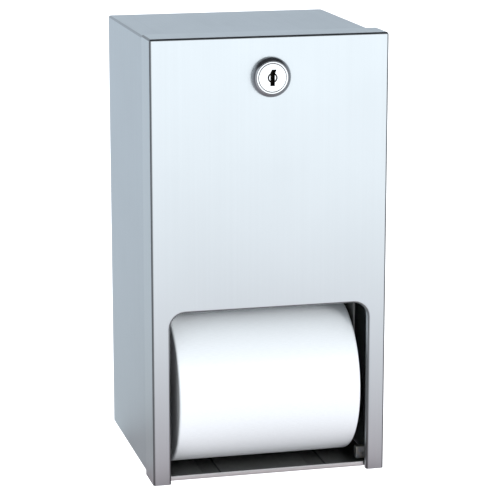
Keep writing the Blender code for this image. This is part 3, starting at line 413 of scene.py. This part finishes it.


# Brushed sheet: fine grain in bump and roughness, faint streaks and clouds in the colour, finger marks in the
# gloss, and edges and bends painted in a darker tone of their own, painted shade for the dark reflection in
# the bends. Where a lip's depth is given, all in front of it is painted bright, a painted highlight.
def brushedSteel(name, colour, edge, roughness, streaks, metal=1.0, lipDepth=None):
    material, tree, shader = startMaterial(name)
    fine = noise(tree, grainPlace(tree, steelGrain["fine"], steelGrain["along"]), 1.0, 3.0, 0.6)
    streak = noise(tree, grainPlace(tree, steelGrain["streak"], steelGrain["along"] / 3), 1.0, 4.0, 0.65)
    place = addNode(tree, "ShaderNodeTexCoord")
    broad = noise(tree, place.outputs["Object"], steelGrain["broad"], 2.0)
    marks = noise(tree, place.outputs["Object"], 4.5 * steelGrain["broad"], 4.0, 0.6)
    streakTone = remap(tree, streak, 0.25, 0.75, 1.0 - streaks, 1.0 + streaks)
    fineTone = remap(tree, fine, 0.25, 0.75, 1.0 - 0.5 * streaks, 1.0 + 0.5 * streaks)
    cloudTone = remap(tree, broad, 0.3, 0.7, 0.985, 1.015)
    tone = combine(tree, "MULTIPLY", combine(tree, "MULTIPLY", streakTone, fineTone), cloudTone)
    # painted shade: edges and bends take the darker edge tone
    paintedBendShade = combine(tree, "MAXIMUM", edgeMask(tree), bendMask(tree))
    edgeToned = blendColours(tree, paintedBendShade, shaded(tree, colour, tone), edge)
    # painted highlight: all in front of the lip's depth is bright and less metallic
    if lipDepth is not None:
        parts = addNode(tree, "ShaderNodeSeparateXYZ")
        join(tree, place.outputs["Object"], parts.inputs[0])
        ahead = remap(tree, parts.outputs["Y"], lipDepth, lipDepth - 0.0006, 0.0, 1.0)
        edgeToned = blendColours(tree, ahead, edgeToned, steelGrain["lip"])
        join(tree, remap(tree, ahead, 0.0, 1.0, metal, steelGrain["lipHighlightMetal"]), shader.inputs["Metallic"])
    join(tree, edgeToned, shader.inputs["Base Color"])
    grainRough = remap(tree, fine, 0.2, 0.8, -0.05, 0.05)
    markRough = remap(tree, marks, 0.35, 0.75, roughness - 0.006, roughness + 0.012)
    join(tree, combine(tree, "ADD", grainRough, markRough), shader.inputs["Roughness"])
    shader.inputs["Metallic"].default_value = metal
    shader.inputs["Anisotropic"].default_value = steelGrain["stretch"]
    tangent = addNode(tree, "ShaderNodeVectorTransform", vector_type="VECTOR")
    tangent.convert_from, tangent.convert_to = "OBJECT", "WORLD"
    tangent.inputs[0].default_value = steelGrain["across"]
    join(tree, tangent.outputs[0], shader.inputs["Tangent"])
    giveRelief(tree, shader, fine, *steelGrain["relief"])
    return material


# edge: painted shade for the edges and bends, darker than each sheet's colour
steelLooks = {
    "cabinet": {"colour": (0.605, 0.64, 0.67), "edge": (0.36, 0.38, 0.40), "roughness": 0.36, "streaks": 0.015},
    "door": {"colour": (0.645, 0.68, 0.705), "edge": (0.20, 0.21, 0.22), "roughness": 0.35, "streaks": 0.015},
    # inner and floor: the cabinet's steel darkened, painted shade for the dark inside of the cabinet
    "inner": {"colour": (0.19, 0.195, 0.19), "edge": (0.12, 0.12, 0.12), "roughness": 0.46, "streaks": 0.05,
              "metal": 0.75},
    "floor": {"colour": (0.225, 0.22, 0.21), "edge": (0.09, 0.09, 0.09), "roughness": 0.38, "streaks": 0.05,
              "lipDepth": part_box("floor_plate")[0].y + 0.0022},
}


chromeLooks = {
    "lock": {"colour": (0.90, 0.91, 0.92), "roughness": 0.05},
    # painted shade: the bezel is the lock's chrome darkened, standing in for its dark reflections
    "bezel": {"colour": (0.34, 0.35, 0.37), "roughness": 0.06},
    "haze": 260.0,                            # noise units per metre
    "wipes": 1500.0,
    "relief": (0.06, 0.00003),
}


# Polished plate: almost a mirror, with faint haze and wiping marks
def polishedChrome(name, colour, roughness):
    material, tree, shader = startMaterial(name)
    place = addNode(tree, "ShaderNodeTexCoord")
    haze = noise(tree, place.outputs["Object"], chromeLooks["haze"], 3.0)
    wipes = noise(tree, place.outputs["Object"], chromeLooks["wipes"], 2.0)
    join(tree, remap(tree, haze, 0.3, 0.7, roughness * 0.8, roughness * 1.4), shader.inputs["Roughness"])
    join(tree, shaded(tree, colour, remap(tree, wipes, 0.2, 0.8, 0.97, 1.02)), shader.inputs["Base Color"])
    shader.inputs["Metallic"].default_value = 1.0
    giveRelief(tree, shader, wipes, *chromeLooks["relief"])
    return material


lockFaceLook = {
    "satin": (0.93, 0.94, 0.95),
    "paintedRecessShade": (0.030, 0.028, 0.024),          # painted shade down in the keyway and the groove
    "start": 0.0003,                          # m behind the face where the painted shade begins
    "fade": 0.0002,
    "swirl": 1700.0,
    "gloss": (0.24, 0.55),                    # roughness of the face, and of the depths
    "relief": (0.08, 0.00003),
}


# Lock face: satin plate on the front, and dull metal with painted shade down in its keyway and groove
def lockFacePlate(name):
    material, tree, shader = startMaterial(name)
    place = addNode(tree, "ShaderNodeTexCoord")
    parts = addNode(tree, "ShaderNodeSeparateXYZ")
    join(tree, place.outputs["Object"], parts.inputs[0])
    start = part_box("lock_plug")[0].y + lockFaceLook["start"]
    inside = remap(tree, parts.outputs["Y"], start, start + lockFaceLook["fade"], 0.0, 1.0)
    swirl = noise(tree, place.outputs["Object"], lockFaceLook["swirl"], 3.0)
    satin = shaded(tree, lockFaceLook["satin"], remap(tree, swirl, 0.2, 0.8, 0.96, 1.02))
    join(tree, blendColours(tree, inside, satin, lockFaceLook["paintedRecessShade"]), shader.inputs["Base Color"])
    join(tree, remap(tree, inside, 0.0, 1.0, *lockFaceLook["gloss"]), shader.inputs["Roughness"])
    shader.inputs["Metallic"].default_value = 1.0
    giveRelief(tree, shader, swirl, *lockFaceLook["relief"])
    return material


zincLook = {
    "bluish": (0.50, 0.53, 0.56),
    "yellowish": (0.58, 0.56, 0.50),
    "edge": (0.74, 0.74, 0.73),
    "clouds": 420.0,
    "specks": 2600.0,
    "gloss": (0.30, 0.46),
    "relief": (0.2, 0.00005),
}


# Zinc plate: dull, with small bluish and yellowish clouds
def zincPlate(name):
    material, tree, shader = startMaterial(name)
    place = addNode(tree, "ShaderNodeTexCoord")
    cloud = noise(tree, place.outputs["Object"], zincLook["clouds"], 3.0)
    speck = noise(tree, place.outputs["Object"], zincLook["specks"], 2.0)
    share = remap(tree, cloud, 0.35, 0.65, 0.0, 1.0)
    tint = blendColours(tree, share, zincLook["bluish"], zincLook["yellowish"])
    edgeToned = blendColours(tree, edgeMask(tree), tint, zincLook["edge"])
    join(tree, edgeToned, shader.inputs["Base Color"])
    join(tree, remap(tree, speck, 0.3, 0.7, *zincLook["gloss"]), shader.inputs["Roughness"])
    shader.inputs["Metallic"].default_value = 1.0
    giveRelief(tree, shader, speck, *zincLook["relief"])
    return material


plasticLook = {
    "colour": (0.16, 0.17, 0.18),
    "edge": (0.34, 0.35, 0.36),
    "clouds": 60.0,
    "spark": 3200.0,
    "gloss": (0.38, 0.55),
    "relief": (0.3, 0.00005),
}


# Moulded plastic: fine spark texture and rubbed edges
def mouldedPlastic(name):
    material, tree, shader = startMaterial(name)
    place = addNode(tree, "ShaderNodeTexCoord")
    spark = noise(tree, place.outputs["Object"], plasticLook["spark"], 2.0)
    cloud = noise(tree, place.outputs["Object"], plasticLook["clouds"], 2.0)
    tone = shaded(tree, plasticLook["colour"], remap(tree, cloud, 0.3, 0.7, 0.92, 1.10))
    edgeToned = blendColours(tree, edgeMask(tree), tone, plasticLook["edge"])
    join(tree, edgeToned, shader.inputs["Base Color"])
    join(tree, remap(tree, spark, 0.3, 0.7, *plasticLook["gloss"]), shader.inputs["Roughness"])
    giveRelief(tree, shader, spark, *plasticLook["relief"])
    return material


tissueLook = {
    "round": (0.83, 0.865, 0.895),
    # ends: painted shade, the paper darker on its end faces
    "ends": (0.55, 0.56, 0.57),
    "crepe": (2300.0, 260.0, 1.0),            # noise units per metre round the roll and along it
    "layers": (40.0, 3600.0, 1.0),
    "fibre": 900.0,
    "gloss": (0.86, 0.98),
    "sheen": (0.08, 0.6),                     # weight and roughness
    "relief": (0.32, 0.00012),
}


# Noise on the piece's own map, which holds metres
def mapNoise(tree, scale, detail, rough, turn=0.0):
    uv = addNode(tree, "ShaderNodeUVMap", uv_map="windMap")
    stretch = addNode(tree, "ShaderNodeMapping")
    stretch.inputs["Scale"].default_value = scale
    stretch.inputs["Rotation"].default_value = (0.0, 0.0, math.radians(turn))
    join(tree, uv.outputs[0], stretch.inputs["Vector"])
    return noise(tree, stretch.outputs[0], 1.0, detail, rough)


# Wound tissue: creping lines across the web on the round, and wound layers on the ends, which are painted darker as
# painted shade
def woundTissue(name):
    material, tree, shader = startMaterial(name)
    crepe = mapNoise(tree, tissueLook["crepe"], 3.0, 0.6)
    layers = mapNoise(tree, tissueLook["layers"], 3.0, 0.7)
    end = addNode(tree, "ShaderNodeAttribute", attribute_name="endFace")
    mix = addNode(tree, "ShaderNodeMix", data_type="FLOAT")
    join(tree, end.outputs["Fac"], mix.inputs["Factor"])
    join(tree, crepe, mix.inputs[2])
    join(tree, layers, mix.inputs[3])
    height = mix.outputs[0]
    place = addNode(tree, "ShaderNodeTexCoord")
    fibre = noise(tree, place.outputs["Object"], tissueLook["fibre"], 3.0)
    tone = remap(tree, height, 0.25, 0.75, 0.96, 1.02)
    # painted shade: the end faces take the darker colour
    paper = blendColours(tree, end.outputs["Fac"], tissueLook["round"], tissueLook["ends"])
    join(tree, shaded(tree, paper, tone), shader.inputs["Base Color"])
    join(tree, remap(tree, fibre, 0.3, 0.7, *tissueLook["gloss"]), shader.inputs["Roughness"])
    shader.inputs["Specular IOR Level"].default_value = 0.2
    shader.inputs["Sheen Weight"].default_value = tissueLook["sheen"][0]
    shader.inputs["Sheen Roughness"].default_value = tissueLook["sheen"][1]
    giveRelief(tree, shader, combine(tree, "ADD", height, fibre), *tissueLook["relief"])
    return material


boardLook = {
    "dark": (0.43, 0.34, 0.24),
    "pale": (0.57, 0.47, 0.35),
    "seam": (0.22, 0.17, 0.12),
    "fibre": (260.0, 1400.0, 1.0),
    "slant": 32.0,                            # degrees
    "specks": 700.0,
    "gloss": (0.80, 0.95),
    "relief": (0.3, 0.0001),
}


# Grey-brown board: long slanting fibres and specks, and a dark seam where the strip's turns meet
def coreBoard(name):
    material, tree, shader = startMaterial(name)
    fibre = mapNoise(tree, boardLook["fibre"], 4.0, 0.65, boardLook["slant"])
    place = addNode(tree, "ShaderNodeTexCoord")
    speck = noise(tree, place.outputs["Object"], boardLook["specks"], 3.0)
    tint = blendColours(tree, remap(tree, fibre, 0.3, 0.7, 0.0, 1.0), boardLook["dark"], boardLook["pale"])
    plain = shaded(tree, tint, remap(tree, speck, 0.3, 0.75, 0.88, 1.05))
    seam = addNode(tree, "ShaderNodeAttribute", attribute_name="seam")
    join(tree, blendColours(tree, seam.outputs["Fac"], plain, boardLook["seam"]), shader.inputs["Base Color"])
    join(tree, remap(tree, fibre, 0.3, 0.7, *boardLook["gloss"]), shader.inputs["Roughness"])
    giveRelief(tree, shader, fibre, *boardLook["relief"])
    return material


cabinetSteel = brushedSteel("cabinetSteel", **steelLooks["cabinet"])
doorSteel = brushedSteel("doorSteel", **steelLooks["door"])
# painted shade: the inner parts and floor plate are the same steel, darkened for the shade inside
shadedInnerSteel = brushedSteel("shadedInnerSteel", **steelLooks["inner"])
shadedFloorSteel = brushedSteel("shadedFloorSteel", **steelLooks["floor"])
lockChrome = polishedChrome("lockChrome", **chromeLooks["lock"])
bezelChrome = polishedChrome("bezelChrome", **chromeLooks["bezel"])
lockFace = lockFacePlate("lockFace")
zincSteel = zincPlate("zincSteel")
spindlePlastic = mouldedPlastic("spindlePlastic")
tissue = woundTissue("tissue")
board = coreBoard("coreBoard")
print("materials are made")


finishOf = {
    "cabinet_shell": cabinetSteel, "floor_plate": shadedFloorSteel, "door_panel": doorSteel,
    "left_hinge_block": zincSteel, "right_hinge_block": zincSteel,
    "left_hinge_pin": zincSteel, "right_hinge_pin": zincSteel,
    "left_guide_bracket": shadedInnerSteel, "right_guide_bracket": shadedInnerSteel,
    "left_bail_pivot_stud": zincSteel, "right_bail_pivot_stud": zincSteel,
    "left_bail_stop_stud": zincSteel, "right_bail_stop_stud": zincSteel,
    "release_bail": shadedInnerSteel, "lower_spindle": spindlePlastic, "upper_spindle": spindlePlastic,
    "lower_core": board, "upper_core": board, "lower_paper_roll": tissue, "upper_paper_roll": tissue,
    "lock_keeper": shadedInnerSteel, "lock_body": lockChrome, "lock_bezel": bezelChrome,
    "lock_washer": zincSteel, "lock_nut": zincSteel, "lock_plug": lockFace,
    "lock_cam": zincSteel, "cam_screw": zincSteel,
}
for nodeName, finish in finishOf.items():
    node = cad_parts[nodeName]
    node.data.materials.clear()
    node.data.materials.append(finish)
print("solids have their finishes")


# Hands a finished piece over: its finish, its body and the solid that it stands for
def handOver(name, mesh, material, body, node):
    piece = bpy.data.objects.new(name, mesh)
    scene.collection.objects.link(piece)
    mesh.materials.append(material)
    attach(piece, body)
    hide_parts(node)
    print("made", name, len(mesh.polygons), "faces")
    return piece


# Each line: the solid, the new piece, its body, its slot, and the width of its softened edges in mm
softened = [
    ("door_panel", "doorSheet", "door", "door_steel", 0.16),
    ("cabinet_shell", "cabinetSheet", "cabinet", "cabinet_steel", 0.14),
    ("floor_plate", "floorSheet", "cabinet", "inner_steel", 0.12),
    ("left_guide_bracket", "leftGuide", "cabinet", "inner_steel", 0.12),
    ("right_guide_bracket", "rightGuide", "cabinet", "inner_steel", 0.12),
    ("lock_keeper", "keeperAngle", "cabinet", "inner_steel", 0.12),
    ("release_bail", "bailStrip", "release_bail", "inner_steel", 0.12),
    ("left_hinge_block", "leftHinge", "cabinet", "zinc_steel", 0.12),
    ("right_hinge_block", "rightHinge", "cabinet", "zinc_steel", 0.12),
    ("lock_plug", "plugFace", "lock", "lock_chrome", 0.06),
    ("lock_cam", "camTongue", "lock", "zinc_steel", 0.12),
    ("lock_nut", "lockNut", "door", "zinc_steel", 0.10),
    ("lower_spindle", "lowerSpindle", "lower_spindle", "spindle_plastic", 0.12),
    ("upper_spindle", "upperSpindle", "upper_spindle", "spindle_plastic", 0.12),
]


softening = {
    "merge": 2e-6,                            # m between points that count as one
    "flat": 0.5,                              # degrees between faces that count as one
    "sharp": 40.0,                            # degrees from which an edge is rounded
    "segments": 2,
    "weight": 70,                             # how far the normals lean to the larger faces
}


# A merged copy of a solid with its flat triangles joined, its sharp edges rounded, and its bends shaded
# round: each corner's normal leans to the larger faces beside it.
def softenEdges(nodeName, name, body, slot, width):
    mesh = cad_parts[nodeName].data.copy()
    mesh.materials.clear()
    work = bmesh.new()
    work.from_mesh(mesh)
    bmesh.ops.remove_doubles(work, verts=work.verts, dist=softening["merge"])
    flat = math.radians(softening["flat"])
    bmesh.ops.dissolve_limit(work, angle_limit=flat, verts=work.verts, edges=work.edges)
    for face in work.faces:
        face.smooth = True
    work.to_mesh(mesh)
    work.free()
    piece = handOver(name, mesh, finishOf[nodeName], body, nodeName)
    edges = piece.modifiers.new("softEdges", "BEVEL")
    edges.width = width / 1000
    edges.segments = softening["segments"]
    edges.limit_method = "ANGLE"
    edges.angle_limit = math.radians(softening["sharp"])
    normals = piece.modifiers.new("evenNormals", "WEIGHTED_NORMAL")
    normals.weight = softening["weight"]
    normals.keep_sharp = True


for line in softened:
    softenEdges(*line)


# A ring turned about an axis along Y: point = (centreX + r sin t, y, centreZ + r cos t), with r from the
# profile's depth y and from the angle t where the profile is a thread
def turnedRing(name, depth, radius, centre, steps):
    turn = np.linspace(0, 2 * np.pi, steps + 1)[:-1]
    t, y = np.meshgrid(turn, depth, indexing="ij")
    r = radius(t, y) if callable(radius) else np.meshgrid(turn, radius, indexing="ij")[1]
    return gridMesh(name, np.stack([centre[0] + r * np.sin(t), y, centre[1] + r * np.cos(t)], axis=-1))


lockSizes = {
    "around": 160,
    "barrel": 0.0095,                         # radius of the lock case behind its head
    "gap": 0.0003,
    "headHeight": 0.0024,
    "head": 0.0099,
    "bezelWide": 0.0122,                      # radius of the dome's straight flank
    "bezelSeat": (0.0006, 0.0007),            # inset and height of the groove at the door
    "bezelFlank": 0.0018,                     # height of the flank's top over the door
    "bezelLean": (56.0, 24.0),                # degrees that the dome's normals lean outwards, flank and rim
    "bezelBore": 0.0012,                      # depth of the bore's first ring, which keeps the rim crisp
    "rimRound": 0.00018,
    "headRound": 0.0003,
    "pitch": 0.0010,                          # of the fine thread on the barrel
    "threadDepth": 0.00042,
    "threadStart": 0.0060,                    # behind the head
    "threadEnd": 0.0012,                      # in front of the barrel's rear end
    "threadFade": 0.001,
    "threadRows": 150,
    "shankBore": 0.0068,                      # radius behind the plug's face
    "shankStart": 0.0028,
    "boreRound": 0.0002,
}


# The profile goes from the groove at the door up the flank, over the dome to the rim, then down the bore to
# the ledge and back along the seat. The dome's lean falls evenly from flank to rim: the sums of sin lean and
# of cos lean along it, scaled to its height and width, give its depth and radius.
def domedBezel():
    low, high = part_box("lock_bezel")
    outer = lockSizes["bezelWide"]
    inset, groove = lockSizes["bezelSeat"]
    inner = lockSizes["head"] + lockSizes["gap"] / 2
    barrel = lockSizes["barrel"] + lockSizes["gap"]
    soft = lockSizes["rimRound"]
    foot = high.y - lockSizes["bezelFlank"]
    ledge = low.y + lockSizes["headHeight"] + lockSizes["gap"]
    lean = np.radians(np.linspace(*lockSizes["bezelLean"], 28))
    rise = np.concatenate([[0], np.cumsum(np.sin(lean))])
    inward = np.concatenate([[0], np.cumsum(np.cos(lean))])
    b = np.linspace(0, np.pi / 2, 6)
    radius = np.concatenate([
        outer - (outer - inner - soft) * inward / inward[-1], inner + soft * (1 - np.sin(b[1:])),
        [inner, inner, barrel, barrel], [(barrel + outer) / 2, outer - inset, outer - inset, outer - 0.0001, outer],
    ])
    depth = np.concatenate([
        foot + (low.y - foot) * rise / rise[-1], low.y + soft * (1 - np.cos(b[1:])),
        [low.y + lockSizes["bezelBore"], ledge, ledge, high.y],
        [high.y, high.y, high.y - groove, high.y - groove - 0.0001, high.y - groove - 0.0003],
    ])
    centre = ((low.x + high.x) / 2, (low.z + high.z) / 2)
    mesh = turnedRing("domedBezel", depth, radius, centre, lockSizes["around"])
    handOver("domedBezel", mesh, bezelChrome, "door", "lock_bezel")


# Lock case: head, barrel and bore in one profile. On the barrel, radius = crest - depth x a triangle wave
# of (distance / pitch + turn), which winds the thread, and the wave fades out at both ends.
def threadedCase():
    low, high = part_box("lock_body")
    plugLow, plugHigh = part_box("lock_plug")
    head, barrel = lockSizes["head"], lockSizes["barrel"]
    soft = lockSizes["headRound"]
    shelf = low.y + lockSizes["headHeight"]
    faceBore = (plugHigh.x - plugLow.x) / 2 + lockSizes["gap"]
    shank, step = lockSizes["shankBore"], low.y + lockSizes["shankStart"]
    lip = lockSizes["boreRound"]
    b = np.linspace(0, np.pi / 2, 6)
    barrelY = np.linspace(shelf, high.y, lockSizes["threadRows"])
    depth = np.concatenate([
        low.y + soft * (1 - np.cos(b)), [shelf], barrelY, [high.y],
        [step], [step], [low.y + lip], [low.y],
    ])
    radius = np.concatenate([
        head - soft + soft * np.sin(b), [head], np.full(barrelY.size, barrel), [shank],
        [shank], [faceBore], [faceBore], [faceBore + lip],
    ])
    onBarrel = np.zeros(depth.size)
    onBarrel[b.size + 1:b.size + 1 + barrelY.size] = 1.0

    def threaded(t, y):
        count = (y - shelf) / lockSizes["pitch"] + t / (2 * np.pi)
        wave = np.abs(2 * (count - np.floor(count)) - 1)
        start, end = shelf + lockSizes["threadStart"], high.y - lockSizes["threadEnd"]
        fade = lockSizes["threadFade"]
        share = smoothStep(y, start, start + fade) * (1 - smoothStep(y, end - fade, end))
        return radius[None, :] - onBarrel[None, :] * share * wave * lockSizes["threadDepth"]

    centre = ((low.x + high.x) / 2, (low.z + high.z) / 2)
    mesh = turnedRing("threadedCase", depth, threaded, centre, lockSizes["around"])
    handOver("threadedCase", mesh, lockChrome, "door", "lock_body")


domedBezel()
threadedCase()


coreSettings = {
    "around": 180,
    "along": 160,
    "wall": 0.0013,
    "strip": 0.072,                           # length of tube that one turn of the board strip covers
    "seamWidth": 0.0011,
    "seamDepth": 0.00016,
}


# Board tube: the wall's profile goes out along the bore and back along the outside. A strip winds round it,
# so the seam lies where (x / strip + turn) is whole, and the radius dips there by depth x e^-(distance^2).
def coreTube(name, node, body):
    low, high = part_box(node)
    centreY, centreZ = (low.y + high.y) / 2, (low.z + high.z) / 2
    outer = (high.z - low.z) / 2
    inner = outer - coreSettings["wall"]
    x = np.linspace(low.x, high.x, coreSettings["along"])
    alongX = np.concatenate([x, x[::-1]])
    radial = np.concatenate([np.full(x.size, inner), np.full(x.size, outer)])
    turn = np.linspace(0, 2 * np.pi, coreSettings["around"] + 1)[:-1]
    t, x = np.meshgrid(turn, alongX, indexing="ij")
    r = np.meshgrid(turn, radial, indexing="ij")[1]
    count = x / coreSettings["strip"] + t / (2 * np.pi)
    away = np.abs(count - np.round(count)) * coreSettings["strip"]
    seam = np.exp(-(away / coreSettings["seamWidth"]) ** 2)
    outward = np.where(r > (inner + outer) / 2, 1.0, -1.0)
    r = r - outward * seam * coreSettings["seamDepth"]
    points = np.stack([x, centreY + r * np.sin(t), centreZ + r * np.cos(t)], axis=-1)
    length = high.x - low.x
    out = np.linspace(0, length, coreSettings["along"])
    run = np.concatenate([out, length + out, [2 * length]])
    turnMap = np.linspace(0, 2 * np.pi * outer, turn.size + 1)
    mesh = gridMesh(name, points, np.stack(np.meshgrid(turnMap, run, indexing="ij"), axis=-1))
    keepNumber(mesh, "seam", seam)
    handOver(name, mesh, board, body, node)


coreTube("lowerTube", "lower_core", "lower_roll")
coreTube("upperTube", "upper_core", "upper_roll")


rollSettings = {
    "around": 288,
    "sheet": 0.00035,                         # two plies, where the last turn ends
    "edgeRound": 0.0014,
    "softDip": 0.00012,                       # how far the soft surface dips
    "layerBand": 0.0021,                      # spacing of the uneven bands on the ends
    "layerDepth": 0.00022,
    "boreGap": 0.0001,
    "rows": (40, 8, 76, 14),                  # over an end, round its edge, along the round, in the bore
    "lowerEdge": 60.0,                        # degrees round the roll to its loose edge
    "upperEdge": 205.0,
}


# The profile goes up the left end, round its edge, along the round, down the right end and back through
# the bore. Radius on the round = full radius - sheet x share of a turn since the loose edge - soft dips,
# and each end sinks in by bands whose radius grows with the angle, as wound layers do.
def tissueRoll(name, node, coreNode, body, looseEdge):
    low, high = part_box(node)
    coreLow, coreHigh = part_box(coreNode)
    centreY, centreZ = (low.y + high.y) / 2, (low.z + high.z) / 2
    radius, half = (high.z - low.z) / 2, (high.x - low.x) / 2
    bore = (coreHigh.z - coreLow.z) / 2 + rollSettings["boreGap"]
    soft = rollSettings["edgeRound"]
    endRows, edgeRows, roundRows, boreRows = rollSettings["rows"]
    face = np.linspace(bore, radius - soft, endRows)
    bend = np.linspace(0, np.pi / 2, edgeRows)[1:-1]
    length = np.linspace(-half + soft, half - soft, roundRows)
    back = np.linspace(half, -half, boreRows)[1:-1]
    alongX = np.concatenate([
        np.full(face.size, -half), -half + soft * (1 - np.cos(bend)), length,
        half - soft * (1 - np.cos(bend[::-1])), np.full(face.size, half), back,
    ])
    radial = np.concatenate([
        face, radius - soft * (1 - np.sin(bend)), np.full(length.size, radius),
        radius - soft * (1 - np.sin(bend[::-1])), face[::-1], np.full(back.size, bore),
    ])
    turn = np.linspace(0, 2 * np.pi, rollSettings["around"] + 1)[:-1]
    theta, x = np.meshgrid(turn, alongX, indexing="ij")
    r = np.meshgrid(turn, radial, indexing="ij")[1]
    outer = np.clip((r - (radius - 2.2 * soft)) / (2.2 * soft), 0, 1)
    inBore = np.zeros(alongX.size)
    inBore[-back.size:] = 1.0
    onFace = (1 - outer) * (1 - inBore)[None, :]
    edge = math.radians(looseEdge) + 0.012 * np.sin(38 * x) + 0.006 * np.sin(91 * x + 1.0)
    share = np.mod(theta - edge, 2 * np.pi) / (2 * np.pi)
    dips = 0.5 + 0.25 * np.sin(3 * theta + 22 * x) + 0.25 * np.sin(7 * theta - 41 * x + 0.8)
    r = r - outer * (rollSettings["sheet"] * share + rollSettings["softDip"] * dips)
    phase = 2 * np.pi * (r - bore) / rollSettings["layerBand"]
    bands = 0.5 + 0.3 * np.sin(phase - theta) + 0.2 * np.sin(2.7 * phase + 2 * theta)
    x = x - np.sign(x) * rollSettings["layerDepth"] * bands * onFace
    points = np.stack([x, centreY + r * np.cos(theta), centreZ + r * np.sin(theta)], axis=-1)
    run = np.concatenate([[0], np.cumsum(np.hypot(np.diff(alongX), np.diff(radial)))])
    run = np.append(run, run[-1] + math.hypot(alongX[0] - alongX[-1], radial[0] - radial[-1]))
    turnMap = np.linspace(0, 2 * np.pi * radius, turn.size + 1)
    mesh = gridMesh(name, points, np.stack(np.meshgrid(turnMap, run, indexing="ij"), axis=-1))
    keepNumber(mesh, "endFace", onFace)
    handOver(name, mesh, tissue, body, node)


tissueRoll("lowerTissue", "lower_paper_roll", "lower_core", "lower_roll", rollSettings["lowerEdge"])
tissueRoll("upperTissue", "upper_paper_roll", "upper_core", "upper_roll", rollSettings["upperEdge"])
print("lock, cores and rolls are made")


bpy.context.view_layer.update()
